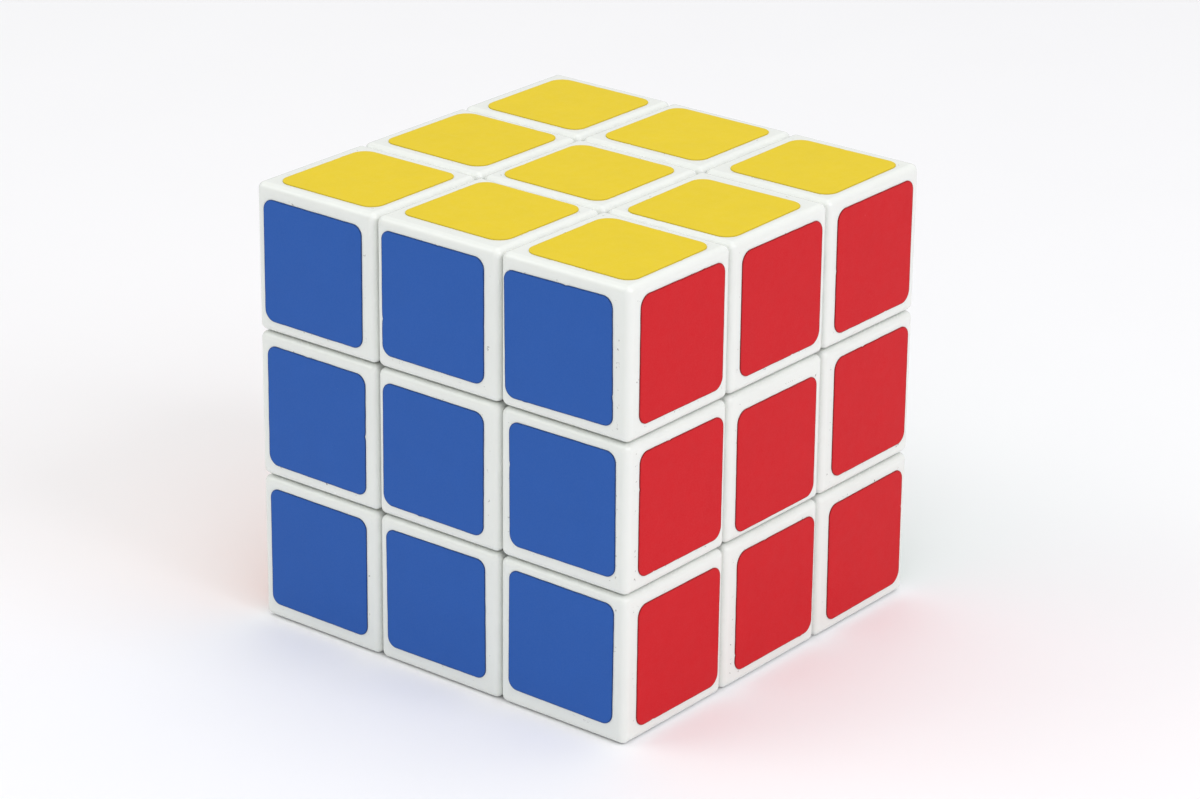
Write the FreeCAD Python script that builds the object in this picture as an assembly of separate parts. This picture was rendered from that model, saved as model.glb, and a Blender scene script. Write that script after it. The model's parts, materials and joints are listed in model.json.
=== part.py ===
import FreeCAD, Part
import math
import os

# Twisty puzzle cube, 3 x 3 x 3. Millimetres, +Z up, origin at the middle of the core.
# Faces: f = -Y, b = +Y, l = -X, r = +X, d = -Z, u = +Z.
# Six centres turn on screws in a six-armed core. The centres trap the twelve
# edges by their feet, and the edges trap the eight corners by theirs.
# Every sliding surface is either a sphere about the origin or a plane at one
# distance from it, so any face can turn through any angle.

# ---- driving dimensions ----
SIDE = 57.0            # outside of the whole cube
PITCH = SIDE / 3.0     # one cubie
GAP = 0.20             # slot between neighbouring cubies
ROUND = 0.9            # rounding on the outside edges of each cubie
WALL = 1.6             # moulded wall
INNER_ROUND = 0.6      # rounding inside the hollow shells

BALL_IN = 15.2         # inner sphere of the feet
BALL_OUT = 20.0        # outer sphere of the feet
BALL_GAP = 0.20        # slot between the feet and the shells above them
FOOT_CUT = 5.0         # planes that part the feet from each other
FOOT_GAP = 0.20        # slot across each of those planes
FOOT_ROUND = 0.4       # eased edges of the feet
PLAY = 0.05            # play between a foot and its own shell

CORE_BALL_R = 6.0
ARM_R = 4.0
ARM_END = 9.0
ARM_BLEND = 0.8

SHANK_R = 1.30         # core screw
THREAD_ROOT_R = 1.02
THREAD_PITCH = 0.80
SCREW_TIP = 3.2
THREAD_END = 8.8
HEAD_UNDER = 21.0
HEAD_TOP = 23.0
HEAD_R = 2.7
RECESS_W = 0.8
RECESS_L = 3.4
RECESS_DEPTH = 1.1
PILOT_R = 1.35         # hole in each core arm

BASE_START = 9.2       # underside of the centre base, just off the arm
BASE_FLOOR = 11.0      # floor of the spring well
BASE_HOLE_R = 1.38     # turns on the screw shank
WELL_R = 3.1
COLUMN_ROUND = 1.2
CAP_SEAM = 26.4        # the cap sits on the base here
SKIRT_DEPTH = 2.0
SKIRT_PLAY = 0.10
PLUG_R = 3.0
PLUG_DEPTH = 1.5
RIB_T = 1.2
RIB_TOP = 24.2

WASHER_R_IN = 1.40
WASHER_R_OUT = 2.90
WASHER_LOW = 11.05
WASHER_TOP = 11.45

WIRE_R = 0.30          # tension spring
COIL_R = 2.20
COIL_TURNS = 6.0

CORNER_POST_R = 1.80
CORNER_HEAD_R = 3.0
CORNER_HEAD_LOW = 23.9
CORNER_HEAD_TOP = 26.0
EDGE_PLUG_TOP = 22.8

# ---- derived ----
HALF = SIDE / 2.0
LO = PITCH / 2.0 + GAP / 2.0        # near face of an outer cubie
MID = PITCH / 2.0 - GAP / 2.0       # half width of a middle cubie
SHELL_BALL = BALL_OUT + BALL_GAP
F_LO = FOOT_CUT + FOOT_GAP / 2.0
F_MID = FOOT_CUT - FOOT_GAP / 2.0

V = FreeCAD.Vector
os.makedirs("parts", exist_ok=True)


def block(x0, x1, y0, y1, z0, z1):
    return Part.makeBox(x1 - x0, y1 - y0, z1 - z0, V(x0, y0, z0))


def ball(r):
    return Part.makeSphere(r)


def rod(r, start, end, direction):
    d = V(direction).normalize()
    return Part.makeCylinder(r, end - start, d * start, d)


def cone(r0, r1, start, end, direction):
    d = V(direction).normalize()
    return Part.makeCone(r0, r1, end - start, d * start, d)


def one_solid(shape):
    s = shape.removeSplitter()
    assert len(s.Solids) == 1, len(s.Solids)
    s = s.Solids[0]
    assert s.isValid()
    return s


# ---- corner, made at +X +Y +Z, the same seen along any of its three sides ----
def corner_shell():
    outer = block(LO, HALF, LO, HALF, LO, HALF)
    outer = outer.makeFillet(ROUND, outer.Edges)
    hollow = block(LO + WALL, HALF - WALL, LO + WALL, HALF - WALL, LO + WALL, HALF - WALL)
    hollow = hollow.makeFillet(INNER_ROUND, hollow.Edges)
    s = outer.cut(hollow).cut(ball(SHELL_BALL))
    s = s.cut(rod(CORNER_POST_R + PLAY, 10.0, CORNER_HEAD_LOW, (1, 1, 1)))
    return one_solid(s)


def corner_foot():
    big = BALL_OUT + 2
    tongue = block(F_LO, big, F_LO, big, F_LO, big).common(ball(BALL_OUT)).cut(ball(BALL_IN))
    tongue = tongue.makeFillet(FOOT_ROUND, tongue.Edges)
    pad_lo = LO + 0.1
    pad = block(pad_lo, big, pad_lo, big, pad_lo, big).common(ball(SHELL_BALL - PLAY))
    post = rod(CORNER_POST_R, 17.5, CORNER_HEAD_LOW + 0.4, (1, 1, 1))
    head = cone(CORNER_HEAD_R, CORNER_POST_R - 0.3, CORNER_HEAD_LOW + 0.2, CORNER_HEAD_TOP, (1, 1, 1))
    return one_solid(tongue.fuse([pad, post, head]))


# ---- edge, made at +X +Y, the same from both of its outer sides ----
def edge_shell():
    outer = block(LO, HALF, LO, HALF, -MID, MID)
    outer = outer.makeFillet(ROUND, outer.Edges)
    hollow = block(LO + WALL, HALF - WALL, LO + WALL, HALF - WALL, -MID + WALL, MID - WALL)
    hollow = hollow.makeFillet(INNER_ROUND, hollow.Edges)
    return one_solid(outer.cut(hollow).cut(ball(SHELL_BALL)))


def edge_foot():
    big = BALL_OUT + 2
    tongue = block(F_LO, big, F_LO, big, -F_MID, F_MID).common(ball(BALL_OUT)).cut(ball(BALL_IN))
    tongue = tongue.makeFillet(FOOT_ROUND, tongue.Edges)
    pad_lo = LO + 0.1
    pad = block(pad_lo, big, pad_lo, big, -F_MID + FOOT_ROUND, F_MID - FOOT_ROUND)
    pad = pad.common(ball(SHELL_BALL - PLAY)).cut(ball(BALL_IN + 2))
    # the plug closes the open underside of the hollow shell
    p_lo = LO + WALL + INNER_ROUND
    p_z = MID - WALL - INNER_ROUND
    plug = block(p_lo, big, p_lo, big, -p_z, p_z).common(ball(EDGE_PLUG_TOP)).cut(ball(SHELL_BALL))
    neck = block(p_lo, big, p_lo, big, -F_MID + FOOT_ROUND, F_MID - FOOT_ROUND)
    neck = neck.common(ball(EDGE_PLUG_TOP - 0.5)).cut(ball(BALL_IN + 2))
    return one_solid(tongue.fuse([pad, neck, plug]))


# ---- centre, made at +X, the same at every quarter turn ----
def centre_block():
    b = block(5.0, HALF, -MID, MID, -MID, MID)
    keep = [e for e in b.Edges if e.BoundBox.XMax > HALF - 1e-6]
    return b.makeFillet(ROUND, keep)


def centre_base():
    b = centre_block().common(block(5.0, CAP_SEAM, -MID, MID, -MID, MID)).cut(ball(SHELL_BALL))
    room = MID - WALL
    hollow = block(5.0, CAP_SEAM + 1, -room, room, -room, room).cut(ball(SHELL_BALL + WALL))
    column = block(BASE_START, CAP_SEAM, -F_MID, F_MID, -F_MID, F_MID)
    keep = [e for e in column.Edges if e.BoundBox.XLength > 1.0]
    column = column.makeFillet(COLUMN_ROUND, keep)
    ribs = [block(15.0, RIB_TOP, -RIB_T / 2, RIB_T / 2, -room - 0.2, room + 0.2),
            block(15.0, RIB_TOP, -room - 0.2, room + 0.2, -RIB_T / 2, RIB_T / 2)]
    ribs = [r.cut(ball(SHELL_BALL + 0.5)) for r in ribs]
    s = b.cut(hollow).fuse([column] + ribs)
    s = s.cut(rod(WELL_R, BASE_FLOOR, CAP_SEAM + 1, (1, 0, 0)))
    s = s.cut(rod(BASE_HOLE_R, 5.0, BASE_FLOOR + 1, (1, 0, 0)))
    return one_solid(s)


def centre_cap():
    plate = centre_block().common(block(CAP_SEAM, HALF, -MID, MID, -MID, MID))
    out = MID - WALL - SKIRT_PLAY
    inn = out - 1.0
    skirt = block(CAP_SEAM - SKIRT_DEPTH, CAP_SEAM + 0.5, -out, out, -out, out).cut(
        block(CAP_SEAM - SKIRT_DEPTH - 1, CAP_SEAM + 0.2, -inn, inn, -inn, inn))
    plug = rod(PLUG_R, CAP_SEAM - PLUG_DEPTH, CAP_SEAM + 0.5, (1, 0, 0))
    return one_solid(plate.fuse([skirt, plug]))


# ---- core and what is on it ----
DIRECTIONS = [("u", (0, 0, 1)), ("d", (0, 0, -1)), ("f", (0, -1, 0)),
              ("b", (0, 1, 0)), ("l", (-1, 0, 0)), ("r", (1, 0, 0))]


def core():
    s = ball(CORE_BALL_R)
    s = s.fuse([rod(ARM_R, 0.0, ARM_END, d) for _, d in DIRECTIONS])
    s = s.removeSplitter()
    for _, d in DIRECTIONS:
        s = s.cut(rod(PILOT_R, SCREW_TIP - 0.4, ARM_END + 1, d))
    return one_solid(s)


def screw():
    pts = [(SCREW_TIP, 0.0), (SCREW_TIP + 0.4, THREAD_ROOT_R * 0.7)]
    x = SCREW_TIP + 0.4
    while x + THREAD_PITCH <= THREAD_END + 1e-9:
        pts += [(x + 0.10, THREAD_ROOT_R), (x + 0.45, SHANK_R), (x + 0.60, SHANK_R), (x + 0.75, THREAD_ROOT_R)]
        x += THREAD_PITCH
    pts += [(THREAD_END + 0.2, THREAD_ROOT_R), (THREAD_END + 0.5, SHANK_R), (HEAD_UNDER, SHANK_R),
            (HEAD_UNDER, HEAD_R), (HEAD_TOP - 0.8, HEAD_R), (HEAD_TOP - 0.25, HEAD_R - 0.5),
            (HEAD_TOP, HEAD_R - 1.2), (HEAD_TOP, 0.0), (SCREW_TIP, 0.0)]
    face = Part.Face(Part.makePolygon([V(a, r, 0) for a, r in pts]))
    s = face.revolve(V(0, 0, 0), V(1, 0, 0), 360)
    w, l = RECESS_W / 2, RECESS_L / 2
    s = s.cut([block(HEAD_TOP - RECESS_DEPTH, HEAD_TOP + 1, -w, w, -l, l),
               block(HEAD_TOP - RECESS_DEPTH, HEAD_TOP + 1, -l, l, -w, w)])
    return one_solid(s)


def washer():
    return one_solid(rod(WASHER_R_OUT, WASHER_LOW, WASHER_TOP, (1, 0, 0)).cut(
        rod(WASHER_R_IN, WASHER_LOW - 1, WASHER_TOP + 1, (1, 0, 0))))


def spring():
    low = WASHER_TOP + WIRE_R + 0.03
    high = HEAD_UNDER - WIRE_R - 0.03
    pitch = (high - low) / COIL_TURNS
    path = Part.Wire(Part.makeHelix(pitch, high - low, COIL_R).Edges)
    tangent = V(0, 2 * math.pi * COIL_R, pitch)
    section = Part.Wire(Part.makeCircle(WIRE_R, V(COIL_R, 0, 0), tangent))
    s = path.makePipeShell([section], True, True)
    s.translate(V(0, 0, low))
    s.rotate(V(0, 0, 0), V(0, 1, 0), 90)
    return one_solid(s)


# ---- placing: every copy is the one master turned about the origin ----
def quarter_turns():
    found = []
    for a in range(3):
        for b in range(3):
            if a == b:
                continue
            for sa in (1, -1):
                for sb in (1, -1):
                    x = [0, 0, 0]
                    y = [0, 0, 0]
                    x[a], y[b] = sa, sb
                    z = [x[1] * y[2] - x[2] * y[1], x[2] * y[0] - x[0] * y[2], x[0] * y[1] - x[1] * y[0]]
                    found.append((x, y, z))
    return found


TURNS = quarter_turns()


def turned(shape, start, end):
    """The master at start, turned to lie at end."""
    for x, y, z in TURNS:
        if tuple(x[k] * start[0] + y[k] * start[1] + z[k] * start[2] for k in range(3)) == tuple(end):
            m = FreeCAD.Matrix(x[0], y[0], z[0], 0, x[1], y[1], z[1], 0, x[2], y[2], z[2], 0, 0, 0, 0, 1)
            s = shape.copy()
            s.Placement = FreeCAD.Placement(m).multiply(s.Placement)
            return s
    raise ValueError(end)


def save(name, shape):
    shape.exportStep("parts/" + name + ".step")


def letters(v):
    x, y, z = v
    return (("u" if z > 0 else "d") if z else "") + (("b" if y > 0 else "f") if y else "") + \
           (("r" if x > 0 else "l") if x else "")


save("core", core())
for name, master in (("core_screws", screw()), ("spring_washers", washer()), ("tension_springs", spring())):
    save(name, Part.makeCompound([turned(master, (1, 0, 0), d) for _, d in DIRECTIONS]))

base, cap = centre_base(), centre_cap()
for tag, d in DIRECTIONS:
    save("centre_%s_base" % tag, turned(base, (1, 0, 0), d))
    save("centre_%s_cap" % tag, turned(cap, (1, 0, 0), d))

e_shell, e_foot = edge_shell(), edge_foot()
c_shell, c_foot = corner_shell(), corner_foot()
for x in (-1, 0, 1):
    for y in (-1, 0, 1):
        for z in (-1, 0, 1):
            sides = abs(x) + abs(y) + abs(z)
            if sides == 2:
                save("edge_%s_shell" % letters((x, y, z)), turned(e_shell, (1, 1, 0), (x, y, z)))
                save("edge_%s_foot" % letters((x, y, z)), turned(e_foot, (1, 1, 0), (x, y, z)))
            elif sides == 3:
                save("corner_%s_shell" % letters((x, y, z)), turned(c_shell, (1, 1, 1), (x, y, z)))
                save("corner_%s_foot" % letters((x, y, z)), turned(c_foot, (1, 1, 1), (x, y, z)))

for label, s in (("core", core()), ("screw", screw()), ("washer", washer()), ("spring", spring()),
                 ("base", base), ("cap", cap), ("edge shell", e_shell), ("edge foot", e_foot),
                 ("corner shell", c_shell), ("corner foot", c_foot)):
    print("%-13s %9.1f mm3  %3d faces" % (label, s.Volume, len(s.Faces)))
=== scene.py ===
import bpy
import bmesh
import json
import math
import random
from mathutils import Matrix, Vector


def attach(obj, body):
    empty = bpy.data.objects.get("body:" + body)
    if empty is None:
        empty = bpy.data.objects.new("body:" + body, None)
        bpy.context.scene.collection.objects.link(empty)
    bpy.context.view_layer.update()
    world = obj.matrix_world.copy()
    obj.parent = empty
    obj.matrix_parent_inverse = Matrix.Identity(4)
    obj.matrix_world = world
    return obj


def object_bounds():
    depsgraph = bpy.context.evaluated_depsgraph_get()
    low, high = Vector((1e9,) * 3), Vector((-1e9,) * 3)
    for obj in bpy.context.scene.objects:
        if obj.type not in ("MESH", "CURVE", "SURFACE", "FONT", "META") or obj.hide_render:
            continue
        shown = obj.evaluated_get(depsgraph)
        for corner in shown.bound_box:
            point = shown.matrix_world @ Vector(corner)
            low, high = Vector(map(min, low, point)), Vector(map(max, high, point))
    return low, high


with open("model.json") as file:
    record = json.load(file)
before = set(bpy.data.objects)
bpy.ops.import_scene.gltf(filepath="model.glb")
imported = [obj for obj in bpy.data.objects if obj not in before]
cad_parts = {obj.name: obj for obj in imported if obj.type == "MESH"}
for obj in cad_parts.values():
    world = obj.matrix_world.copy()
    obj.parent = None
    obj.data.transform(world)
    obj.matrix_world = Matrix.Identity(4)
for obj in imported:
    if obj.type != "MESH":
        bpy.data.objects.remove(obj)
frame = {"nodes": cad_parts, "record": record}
cad_low, cad_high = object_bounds()
nodes = frame["nodes"]
slots = {m["slot"]: m for m in frame["record"]["materials"]}
MM = 0.001
WORLD_LOW, WORLD_HIGH = 0.50, 0.71
TOP_W, LEFT_W, RIGHT_W, FRONT_W = 2.1, 1.75, 3.9, 2.2
TOP_C, LEFT_C, RIGHT_C, FRONT_C = (1.0, 1.0, 0.975), (0.98, 1.0, 0.955), (0.99, 0.94, 1.0), (1.0, 0.98, 1.0)
scene = bpy.context.scene
scene.view_settings.view_transform = "Standard"
scene.view_settings.look = "None"
scene.view_settings.exposure = 0.0
scene.view_settings.gamma = 1.0


# ---------------------------------------------------------------- materials
class Net:
    """A small helper around one material's node tree."""

    def __init__(self, name):
        self.mat = bpy.data.materials.new(name)
        self.mat.use_nodes = True
        self.t = self.mat.node_tree
        for n in list(self.t.nodes):
            self.t.nodes.remove(n)
        self.out = self.add("ShaderNodeOutputMaterial")
        self.bsdf = self.add("ShaderNodeBsdfPrincipled")
        self.t.links.new(self.bsdf.outputs[0], self.out.inputs[0])
        self.co = self.add("ShaderNodeTexCoord").outputs["Object"]
        self.xyz = self.add("ShaderNodeSeparateXYZ")
        self.put(self.xyz, 0, self.co)

    def add(self, kind, **kw):
        n = self.t.nodes.new(kind)
        for k, v in kw.items():
            setattr(n, k, v)
        return n

    def put(self, node, key, value):
        if isinstance(value, bpy.types.NodeSocket):
            self.t.links.new(value, node.inputs[key])
        else:
            node.inputs[key].default_value = value

    def m(self, op, a, b=0.0, c=0.0, clamp=False):
        n = self.add("ShaderNodeMath", operation=op, use_clamp=clamp)
        for i, v in enumerate((a, b, c)):
            self.put(n, i, v)
        return n.outputs[0]

    def noise(self, scale, detail=2.0, rough=0.5, vector=None, distortion=0.0):
        n = self.add("ShaderNodeTexNoise")
        self.put(n, "Vector", self.co if vector is None else vector)
        self.put(n, "Scale", scale)
        self.put(n, "Detail", detail)
        self.put(n, "Roughness", rough)
        self.put(n, "Distortion", distortion)
        return n.outputs["Fac"]

    def remap(self, v, a, b, lo=0.0, hi=1.0, smooth=False):
        n = self.add("ShaderNodeMapRange")
        if smooth:
            n.interpolation_type = "SMOOTHSTEP"
        for k, x in (("Value", v), ("From Min", a), ("From Max", b), ("To Min", lo), ("To Max", hi)):
            self.put(n, k, x)
        return n.outputs[0]

    def mix(self, fac, a, b):
        n = self.add("ShaderNodeMix", data_type="RGBA")
        self.put(n, 0, fac)
        self.put(n, 6, a if isinstance(a, bpy.types.NodeSocket) else (*a, 1.0))
        self.put(n, 7, b if isinstance(b, bpy.types.NodeSocket) else (*b, 1.0))
        return n.outputs[2]

    def stretched(self, sx, sy, sz, rot=(0.0, 0.0, 0.0)):
        n = self.add("ShaderNodeMapping")
        self.put(n, "Vector", self.co)
        self.put(n, "Scale", (sx, sy, sz))
        self.put(n, "Rotation", rot)
        return n.outputs[0]

    def bump(self, height, distance, strength=1.0, normal=None):
        n = self.add("ShaderNodeBump")
        self.put(n, "Height", height)
        self.put(n, "Distance", distance)
        self.put(n, "Strength", strength)
        if normal is not None:
            self.put(n, "Normal", normal)
        return n.outputs[0]


def shade(c, k):
    return tuple(max(0.0, min(1.0, v * k)) for v in c)


def shell_plastic():
    """Glossy injection-moulded ABS: faint mottling, hairline handling marks, dust and painted shade in the seams, rub
    rings on the turning planes.
    """
    n = Net("gloss_white_abs")
    white = (0.815, 0.838, 0.803)
    mott = n.noise(90.0, 3.0, 0.6)
    col = n.mix(n.remap(mott, 0.3, 0.7), shade(white, 0.985), shade(white, 1.015))
    # distance from the nearest seam plane along each axis, in mm
    seams = []
    rings = []
    for i in range(3):
        a = n.m("ABSOLUTE", n.xyz.outputs[i])
        d = n.m("ABSOLUTE", n.m("SUBTRACT", n.m("MULTIPLY", a, 1000.0), 9.5))
        seams.append(d)
    near = n.m("MINIMUM", n.m("MINIMUM", seams[0], seams[1]), seams[2])
    # painted shade with dust: within about half a millimetre of every seam between pieces the plastic is darkened in
    # patches, standing in for the shade in the gaps as well as for dust
    seam_dust_and_shade_noise = n.noise(420.0, 4.0, 0.65)
    seam_dust_and_shade = n.m("MULTIPLY", n.remap(near, 0.16, 0.55, 1.0, 0.0, True), n.remap(seam_dust_and_shade_noise, 0.35, 0.72))
    col = n.mix(n.m("MULTIPLY", seam_dust_and_shade, 0.20), col, (0.46, 0.47, 0.45))
    specks = n.remap(n.noise(900.0, 2.0, 0.5), 0.80, 0.84)
    col = n.mix(n.m("MULTIPLY", specks, 0.35), col, (0.52, 0.53, 0.51))
    # grime caught against the label borders: 7.9 mm from each cubie's own middle
    f = [n.m("PINGPONG", n.m("MULTIPLY", n.m("ABSOLUTE", n.xyz.outputs[i]), 1000.0), 9.5) for i in range(3)]
    second = n.m("MAXIMUM", n.m("MINIMUM", f[0], f[1]), n.m("MINIMUM", n.m("MAXIMUM", f[0], f[1]), f[2]))
    band = n.m("MULTIPLY", n.remap(second, 7.55, 7.80, 0.0, 1.0, True), n.remap(second, 7.98, 8.25, 1.0, 0.0, True))
    grime = n.m("MULTIPLY", band, n.remap(n.noise(1700.0, 3.0, 0.7), 0.64, 0.71))
    col = n.mix(n.m("MULTIPLY", grime, 0.75), col, (0.10, 0.085, 0.065))
    n.put(n.bsdf, "Base Color", col)
    # hairlines and orange peel
    h1 = n.noise(1.0, 2.0, 0.5, n.stretched(90.0, 2600.0, 420.0, (0.3, 0.2, 0.6)))
    h2 = n.noise(1.0, 2.0, 0.5, n.stretched(2300.0, 80.0, 500.0, (0.5, -0.2, 0.1)))
    hair = n.m("MAXIMUM", n.remap(h1, 0.70, 0.78), n.remap(h2, 0.70, 0.78))
    # rub rings: fine arcs about each axis, only on the planes that slide past each other
    for i in range(3):
        j, k = [q for q in range(3) if q != i]
        comb = n.add("ShaderNodeCombineXYZ")
        n.put(comb, 0, n.xyz.outputs[j])
        n.put(comb, 1, n.xyz.outputs[k])
        ln = n.add("ShaderNodeVectorMath", operation="LENGTH")
        n.put(ln, 0, comb.outputs[0])
        rv = n.add("ShaderNodeCombineXYZ")
        n.put(rv, 0, ln.outputs["Value"])
        arcs = n.remap(n.noise(2600.0, 3.0, 0.7, rv.outputs[0]), 0.52, 0.68)
        rings.append(n.m("MULTIPLY", arcs, n.remap(seams[i], 0.12, 0.30, 1.0, 0.0)))
    rub = n.m("MAXIMUM", n.m("MAXIMUM", rings[0], rings[1]), rings[2])
    rough = n.remap(n.noise(240.0, 3.0, 0.6), 0.3, 0.7, 0.11, 0.18)
    rough = n.m("ADD", rough, n.m("MULTIPLY", hair, 0.10))
    rough = n.m("ADD", rough, n.m("MULTIPLY", rub, 0.28))
    n.put(n.bsdf, "Roughness", n.m("ADD", rough, n.m("MULTIPLY", seam_dust_and_shade, 0.25)))
    peel = n.noise(620.0, 2.0, 0.5)
    b = n.bump(peel, 0.000004, 1.0)
    b = n.bump(n.m("MULTIPLY", hair, -1.0), 0.000003, 1.0, b)
    n.put(n.bsdf, "Normal", b)
    n.put(n.bsdf, "IOR", 1.52)
    n.put(n.bsdf, "Specular IOR Level", 0.5)
    n.put(n.bsdf, "Subsurface Weight", 0.08)
    n.put(n.bsdf, "Subsurface Radius", (1.0, 0.95, 0.85))
    n.put(n.bsdf, "Subsurface Scale", 0.0012)
    return n.mat


def inner_plastic():
    """As-moulded satin ABS of the pieces that slide inside, with grease smears and rub marks."""
    n = Net("satin_white_abs")
    white = (0.74, 0.765, 0.745)
    col = n.mix(n.remap(n.noise(130.0, 4.0, 0.6), 0.3, 0.7), shade(white, 0.96), shade(white, 1.03))
    smear = n.remap(n.noise(70.0, 5.0, 0.7, None, 1.2), 0.55, 0.75)
    col = n.mix(n.m("MULTIPLY", smear, 0.25), col, (0.55, 0.55, 0.50))
    n.put(n.bsdf, "Base Color", col)
    ln = n.add("ShaderNodeVectorMath", operation="LENGTH")
    n.put(ln, 0, n.co)
    rv = n.add("ShaderNodeCombineXYZ")
    n.put(rv, 0, ln.outputs["Value"])
    arcs = n.noise(1900.0, 3.0, 0.6, rv.outputs[0])
    n.put(n.bsdf, "Roughness", n.m("SUBTRACT", n.remap(arcs, 0.3, 0.7, 0.34, 0.52), n.m("MULTIPLY", smear, 0.15)))
    b = n.bump(n.noise(1500.0, 3.0, 0.6), 0.000010, 1.0)
    n.put(n.bsdf, "Normal", b)
    n.put(n.bsdf, "IOR", 1.52)
    return n.mat


def steel(name, base, brush, rough_lo, rough_hi):
    n = Net(name)
    g = n.noise(1.0, 4.0, 0.6, n.stretched(*brush))
    col = n.mix(n.remap(g, 0.25, 0.75), shade(base, 0.82), shade(base, 1.15))
    film = n.remap(n.noise(300.0, 5.0, 0.7), 0.55, 0.8)
    col = n.mix(n.m("MULTIPLY", film, 0.35), col, shade(base, 0.45))
    n.put(n.bsdf, "Base Color", col)
    n.bsdf.inputs["Metallic"].default_value = 1.0
    n.put(n.bsdf, "Roughness", n.remap(g, 0.25, 0.75, rough_lo, rough_hi))
    n.put(n.bsdf, "Normal", n.bump(g, 0.000008, 1.0))
    return n.mat


def vinyl(name, base, edge, axis, cut=0.75):
    """Satin coloured vinyl: fine grain, faint mottling, a slow unevenness where it lies on the plastic, worn specks,
    painted shade on the side wall and rounded rim of the cut edge.
    """
    n = Net(name)
    info = n.add("ShaderNodeObjectInfo")
    grain = n.noise(5200.0, 2.0, 0.5)
    cloud = n.noise(210.0, 4.0, 0.6)
    col = n.mix(n.remap(cloud, 0.3, 0.7), shade(base, 0.982), shade(base, 1.018))
    col = n.mix(n.remap(grain, 0.25, 0.75, 0.0, 0.14), col, edge)
    col = n.mix(n.remap(info.outputs["Random"], 0.0, 1.0, 0.0, 0.05), col, shade(base, 0.75))
    speck = n.remap(n.noise(1500.0, 1.0, 0.5), 0.815, 0.85)
    col = n.mix(n.m("MULTIPLY", speck, 0.5), col, edge)
    nrm = n.add("ShaderNodeSeparateXYZ")
    n.put(nrm, 0, n.add("ShaderNodeTexCoord").outputs["Normal"])
    # painted shade: the side wall and rounded rim of the cut edge are darkened towards a third of the colour, by a
    # share of up to cut, the more their normal turns from the face's own
    rim = n.remap(n.m("ABSOLUTE", nrm.outputs[axis]), 0.55, 0.97, cut, 0.0)
    col = n.mix(rim, col, shade(base, 0.30))
    n.put(n.bsdf, "Base Color", col)
    scr = n.noise(1.0, 2.0, 0.5, n.stretched(160.0, 2900.0, 1900.0, (0.4, 0.7, 0.3)))
    scr = n.remap(scr, 0.70, 0.80)
    rough = n.remap(n.noise(800.0, 3.0, 0.6), 0.3, 0.7, 0.42, 0.52)
    n.put(n.bsdf, "Roughness", n.m("SUBTRACT", rough, n.m("MULTIPLY", scr, 0.10)))
    b = n.bump(n.noise(240.0, 1.0, 0.5), 0.000020, 1.0)
    b = n.bump(grain, 0.0000035, 1.0, b)
    b = n.bump(n.m("MULTIPLY", scr, -1.0), 0.000004, 1.0, b)
    n.put(n.bsdf, "Normal", b)
    n.put(n.bsdf, "IOR", 1.45)
    n.put(n.bsdf, "Specular IOR Level", 0.16)
    return n.mat


M_SHELL = shell_plastic()
M_INNER = inner_plastic()
M_STEEL = steel("zinc_plated_steel", (0.60, 0.61, 0.62), (700.0, 700.0, 3000.0), 0.26, 0.42)
M_SPRING = steel("drawn_spring_steel", (0.45, 0.46, 0.48), (2500.0, 2500.0, 2500.0), 0.20, 0.34)
VINYL = {
    # colour, worn colour, normal axis, how dark the painted shade on the cut edge is, how dark the painted shade along
    # the border is
    "u": ("yellow", (0.765, 0.570, 0.010), (0.86, 0.70, 0.12), 2, 0.30, 0.93),
    "f": ("blue", (0.021, 0.103, 0.420), (0.08, 0.18, 0.48), 1, 0.75, 0.62),
    "r": ("red", (0.590, 0.003, 0.009), (0.70, 0.07, 0.08), 0, 0.75, 0.66),
    "l": ("orange", (0.840, 0.165, 0.012), (0.92, 0.38, 0.12), 0, 0.60, 0.75),
    "b": ("green", (0.008, 0.270, 0.080), (0.10, 0.42, 0.20), 1, 0.75, 0.66),
    "d": ("black", (0.012, 0.012, 0.013), (0.10, 0.10, 0.10), 2, 0.60, 0.60),
}
M_LABEL, M_BORDER_SHADE = {}, {}
# painted shade: each vinyl also gets a darker copy, dim times its colours, for the label's edge and outer border band
for key, (word, base, worn, axis, cut, dim) in VINYL.items():
    M_LABEL[key] = vinyl("vinyl_" + word, base, worn, axis, cut)
    M_BORDER_SHADE[key] = vinyl("vinyl_border_shade_" + word, shade(base, dim), shade(worn, dim), axis, cut)
BY_SLOT = {"shell_plastic": M_SHELL, "inner_plastic": M_INNER, "steel": M_STEEL, "spring_steel": M_SPRING}
for part in frame["record"]["subparts"]:
    o = nodes[part["node"]]
    o.data.materials.clear()
    o.data.materials.append(BY_SLOT[part["material_slot"]])
    for p in o.data.polygons:
        p.material_index = 0

# ---------------------------------------------------------------- labels
PITCH = 19.0 * MM
SIDE = 15.70
CORNER = {"u": 1.9, "f": 1.35, "r": 1.55, "d": 1.7, "b": 1.5, "l": 1.5}
THICK = 0.11 * MM
SUNK = 0.015 * MM
FACES = {
    # outward normal, across, up: across x up = normal
    "u": (Vector((0, 0, 1)), Vector((1, 0, 0)), Vector((0, 1, 0))),
    "d": (Vector((0, 0, -1)), Vector((1, 0, 0)), Vector((0, -1, 0))),
    "f": (Vector((0, -1, 0)), Vector((1, 0, 0)), Vector((0, 0, 1))),
    "b": (Vector((0, 1, 0)), Vector((-1, 0, 0)), Vector((0, 0, 1))),
    "r": (Vector((1, 0, 0)), Vector((0, 1, 0)), Vector((0, 0, 1))),
    "l": (Vector((-1, 0, 0)), Vector((0, -1, 0)), Vector((0, 0, 1))),
}
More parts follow.
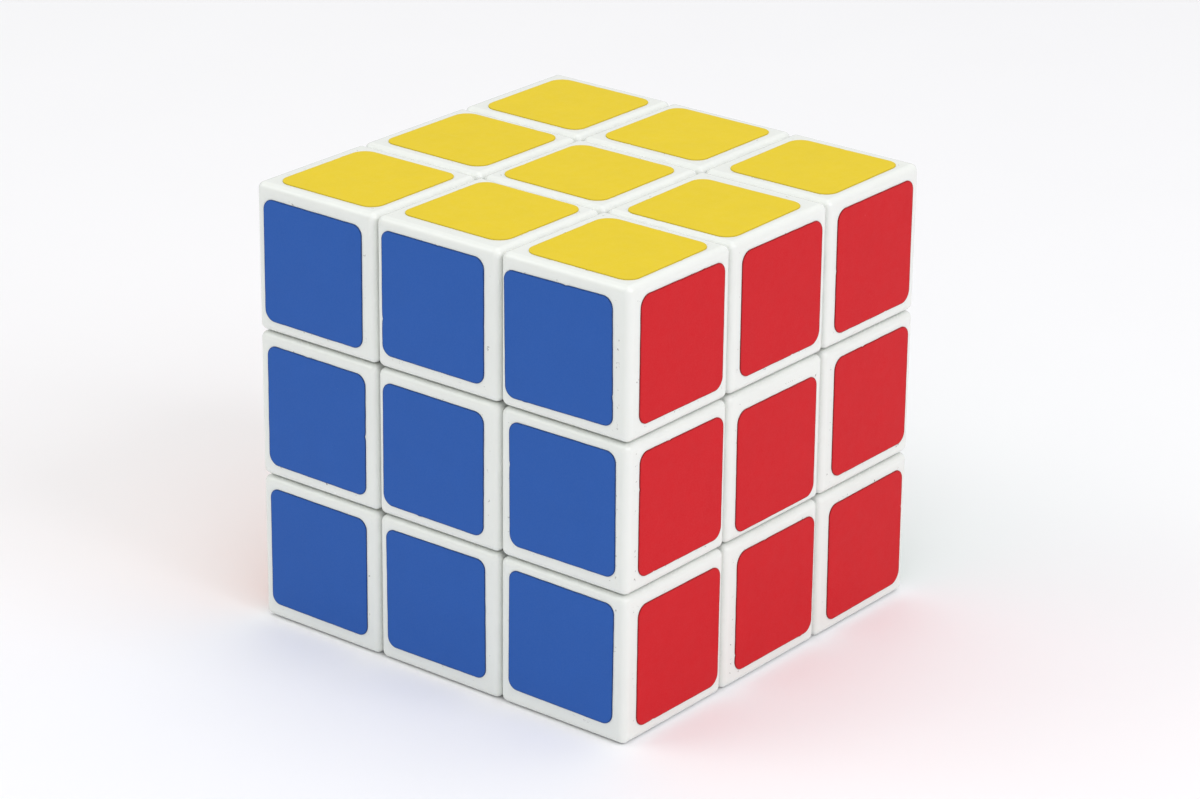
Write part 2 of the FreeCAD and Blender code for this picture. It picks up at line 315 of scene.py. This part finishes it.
# placing of the labels in view, one by one: across mm, up mm, turn in degrees, width mm, height mm
PLACED = {
    ("u", -1, 1): (0.17, -0.14, 0.1, 15.44, 15.73), ("u", 0, 1): (-0.01, 0.09, 0.1, 15.44, 15.57),
    ("u", 1, 1): (0.36, -0.09, 0.5, 15.52, 15.43), ("u", -1, 0): (0.12, 0.20, -0.2, 15.72, 15.65),
    ("u", 0, 0): (-0.04, -0.26, 0.1, 15.67, 15.63), ("u", 1, 0): (0.30, -0.77, 0.9, 15.64, 15.47),
    ("u", -1, -1): (0.24, -0.21, 0.2, 15.49, 15.69), ("u", 0, -1): (0.10, 0.53, -0.2, 15.63, 15.39),
    ("u", 1, -1): (0.33, -0.08, 0.3, 15.76, 15.58), ("f", -1, 1): (-0.38, -0.09, -0.3, 15.68, 15.59),
    ("f", 0, 1): (-0.56, 0.23, -0.1, 15.65, 15.68), ("f", 1, 1): (-0.72, -0.05, 0.8, 15.82, 15.68),
    ("f", -1, 0): (-0.19, 0.08, -0.4, 15.80, 15.69), ("f", 0, 0): (-0.64, 0.01, -0.3, 15.66, 15.79),
    ("f", 1, 0): (-0.01, 0.35, 0.4, 15.72, 15.70), ("f", -1, -1): (-0.25, 0.26, -0.2, 15.74, 15.59),
    ("f", 0, -1): (-0.35, 0.29, 0.4, 15.53, 15.58), ("f", 1, -1): (-0.08, 0.49, -0.4, 15.69, 15.55),
    ("r", -1, 1): (0.24, 0.18, -0.1, 15.61, 15.73), ("r", 0, 1): (0.29, 0.13, 0.1, 15.78, 15.71),
    ("r", 1, 1): (0.20, 0.06, 0.2, 15.72, 15.88), ("r", -1, 0): (0.53, 0.07, -0.2, 15.74, 15.64),
    ("r", 0, 0): (0.13, -0.66, 0.2, 15.78, 15.61), ("r", 1, 0): (0.53, 0.11, 0.3, 15.57, 15.68),
    ("r", -1, -1): (0.57, -0.13, -0.3, 15.69, 15.60), ("r", 0, -1): (0.67, -0.02, 0.0, 15.65, 15.65),
    ("r", 1, -1): (0.52, -0.16, 0.6, 15.65, 15.66),
}


def cubie_name(v):
    x, y, z = (int(round(c)) for c in v)
    s = (("u" if z > 0 else "d") if z else "") + (("b" if y > 0 else "f") if y else "") + (("r" if x > 0 else "l") if x else "")
    return s, {1: "centre_", 2: "edge_", 3: "corner_"}[len(s)] + s


def outline(rng, width, height, radius):
    """A die-cut square with round corners: its uneven, nicked line, the same line without them, and how deep each point is cut in."""
    hx, hy = width / 2, height / 2
    pts = []
    per_corner, per_edge = 14, 46
    for q in range(4):
        a0 = q * math.pi / 2
        cx = (hx - radius) * (1 if q in (0, 3) else -1)
        cy = (hy - radius) * (1 if q in (0, 1) else -1)
        r = radius * rng.uniform(0.90, 1.10)
        cx += (radius - r) * (1 if q in (0, 3) else -1)
        cy += (radius - r) * (1 if q in (0, 1) else -1)
        corner = []
        for i in range(per_corner + 1):
            a = a0 + (math.pi / 2) * i / per_corner
            corner.append((cx + r * math.cos(a), cy + r * math.sin(a)))
        pts.append(corner)
    ring = []
    for q in range(4):
        ring += [(p, p, 0.0) for p in pts[q]]
        a, b = pts[q][-1], pts[(q + 1) % 4][0]
        normal = ((0, 1), (-1, 0), (0, -1), (1, 0))[q]
        wob = [rng.uniform(-1, 1) for _ in range(5)]
        ph = [rng.uniform(0, 6.28) for _ in range(5)]
        nicks = []
        for _ in range(rng.choice((0, 0, 0, 0, 1, 1))):
            nicks.append((rng.uniform(0.06, 0.94), rng.uniform(0.008, 0.022), rng.choice((1, 1, -0.8)) * rng.uniform(0.05, 0.14) * MM))
        for i in range(1, per_edge):
            t = i / per_edge
            off = sum(0.006 * MM * wob[k] * math.sin((k + 2) * 5.1 * t + ph[k]) for k in range(5))
            off += rng.uniform(-0.004, 0.004) * MM
            for c, w, d in nicks:
                g = math.exp(-((t - c) / w) ** 2)
                off -= d * g * (0.75 + 0.25 * rng.random())
            x = a[0] + (b[0] - a[0]) * t
            y = a[1] + (b[1] - a[1]) * t
            ring.append(((x + normal[0] * off, y + normal[1] * off), (x, y), max(0.0, -off)))
    return ring


def label(face, i, j, seed):
    rng = random.Random(seed)
    n, ax, up = FACES[face]
    place = PLACED.get((face, i, j))
    if place is None:
        place = (rng.gauss(0, 0.15), rng.gauss(0, 0.15), rng.gauss(0, 0.35), SIDE + rng.uniform(-0.08, 0.08), SIDE + rng.uniform(-0.08, 0.08))
    loop = outline(rng, place[3] * MM, place[4] * MM, CORNER[face] * MM)
    t = math.radians(place[2])
    ct, st = math.cos(t), math.sin(t)
    cx = i * PITCH + place[0] * MM
    cy = j * PITCH + place[1] * MM
    half = cad_high[0]
    bm = bmesh.new()
    edge_r = 0.035 * MM
    # rings from the foot of the edge, up its side, over its rounded rim, across the border band painted darker as
    # shade, and in to the flat
    levels = [(0.0, -SUNK), (0.0, THICK - edge_r), (edge_r * 0.30, THICK - edge_r * 0.29),
              (edge_r, THICK), (0.12 * MM, THICK), (0.42 * MM, THICK)]
    wave = [(rng.uniform(0.5, 1.0), rng.randrange(5, 60), rng.uniform(0, 6.28)) for _ in range(4)]
    rings = []
    count = len(loop)
    for step, (base_inset, z) in enumerate(levels):
        ring = []
        for k in range(count):
            inset = base_inset
            line = 1 if step > 3 else 0
            if step == 4:
                u = 2 * math.pi * k / count
                inset *= 1.0 + 0.12 * sum(a * math.sin(q * u + p) for a, q, p in wave)
                inset += loop[k][2]
            x, y = loop[k][line]
            x0, y0 = loop[(k - 1) % count][line]
            x1, y1 = loop[(k + 1) % count][line]
            tx, ty = x1 - x0, y1 - y0
            l = math.hypot(tx, ty) or 1.0
            x, y = x - inset * ty / l, y + inset * tx / l
            x, y = ct * x - st * y, st * x + ct * y
            ring.append(bm.verts.new(n * (half + z) + ax * (cx + x) + up * (cy + y)))
        rings.append(ring)
    for step, (a, b) in enumerate(zip(rings, rings[1:])):
        for k in range(count):
            m = (k + 1) % count
            # painted shade: the side wall, rim and outer border band take the darker border copy of the vinyl
            bm.faces.new((a[k], a[m], b[m], b[k])).material_index = 1 if step < 4 else 0
    bm.faces.new(rings[-1])
    bm.faces.new(list(reversed(rings[0]))).material_index = 1
    # the flat is cut up into clean triangles so that it shades evenly
    bmesh.ops.triangulate(bm, faces=[f for f in bm.faces if len(f.verts) > 4], quad_method="BEAUTY", ngon_method="BEAUTY")
    bm.normal_update()
    v = n + ax * i + up * j
    short, body = cubie_name(v)
    me = bpy.data.meshes.new("label_%s_%s" % (face, short))
    bm.to_mesh(me)
    bm.free()
    o = bpy.data.objects.new("label_%s_%s" % (face, short), me)
    scene.collection.objects.link(o)
    me.materials.append(M_LABEL[face])
    me.materials.append(M_BORDER_SHADE[face])
    for p in me.polygons:
        p.use_smooth = True
    me.set_sharp_from_angle(angle=math.radians(35))
    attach(o, body)
    return o


seed = 20
for face in "ufrlbd":
    for j in (-1, 0, 1):
        for i in (-1, 0, 1):
            seed += 1
            label(face, i, j, seed)

# ---------------------------------------------------------------- floor, light, camera
floor_z = cad_low[2] - THICK - 0.003 * MM
bpy.ops.mesh.primitive_grid_add(x_subdivisions=8, y_subdivisions=8, size=8.0, location=(0, 0, floor_z))
floor = bpy.context.object
floor.name = "floor"
fn = Net("pale_sweep")
fcol = fn.mix(fn.remap(fn.noise(3.0, 3.0, 0.5), 0.3, 0.7), (0.922, 0.919, 0.940), (0.932, 0.929, 0.950))
fn.put(fn.bsdf, "Base Color", fcol)
fn.put(fn.bsdf, "Roughness", fn.remap(fn.noise(40.0, 3.0, 0.5), 0.3, 0.7, 0.62, 0.70))
fn.put(fn.bsdf, "Specular IOR Level", 0.25)
floor.data.materials.append(fn.mat)

world = bpy.data.worlds.new("tent")
scene.world = world
world.use_nodes = True
wt = world.node_tree
bg = wt.nodes["Background"]
# a light tent: bright overhead, dimmer towards the horizon
w_co = wt.nodes.new("ShaderNodeTexCoord")
w_sep = wt.nodes.new("ShaderNodeSeparateXYZ")
w_map = wt.nodes.new("ShaderNodeMapRange")
w_map.interpolation_type = "SMOOTHSTEP"
wt.links.new(w_co.outputs["Generated"], w_sep.inputs[0])
wt.links.new(w_sep.outputs[2], w_map.inputs[0])
for k, x in (("From Min", -0.05), ("From Max", 0.85), ("To Min", WORLD_LOW), ("To Max", WORLD_HIGH)):
    w_map.inputs[k].default_value = x
wt.links.new(w_map.outputs[0], bg.inputs[1])
bg.inputs[0].default_value = (0.98, 0.99, 0.98, 1.0)


def area(name, loc, target, size, power, color=(1, 1, 1), size_y=None):
    d = bpy.data.lights.new(name, "AREA")
    d.shape = "RECTANGLE"
    d.size = size
    d.size_y = size_y or size
    d.energy = power
    d.color = color
    o = bpy.data.objects.new(name, d)
    scene.collection.objects.link(o)
    o.location = loc
    o.rotation_euler = (Vector(target) - Vector(loc)).to_track_quat("-Z", "Y").to_euler()
    return o


area("top_softbox", (0.00, 0.10, 1.10), (0, 0, 0), 0.90, TOP_W, TOP_C)
area("left_softbox", (-0.66, -0.56, 0.80), (0, 0, 0), 0.60, LEFT_W, LEFT_C)
area("right_softbox", (1.00, 0.02, 0.74), (0, 0, 0), 0.60, RIGHT_W, RIGHT_C)
area("front_softbox", (0.60, -0.62, 0.88), (0, 0, 0), 0.80, FRONT_W, FRONT_C)

cam_data = bpy.data.cameras.new("camera")
cam = bpy.data.objects.new("camera", cam_data)
scene.collection.objects.link(cam)
scene.camera = cam
CAM_POS = Vector((279.63, -350.13, 181.12)) * MM
RIGHT = Vector((0.780820, 0.624680, 0.009737)).normalized()
UP = Vector((-0.242347, 0.288483, 0.926307)).normalized()
BACK = RIGHT.cross(UP).normalized()
UP = BACK.cross(RIGHT).normalized()
cam.matrix_world = Matrix.Translation(CAM_POS) @ Matrix((RIGHT, UP, BACK)).transposed().to_4x4()
cam_data.sensor_fit = "HORIZONTAL"
cam_data.sensor_width = 36.0
cam_data.lens = 117.64
cam_data.clip_start = 0.01
cam_data.clip_end = 50.0
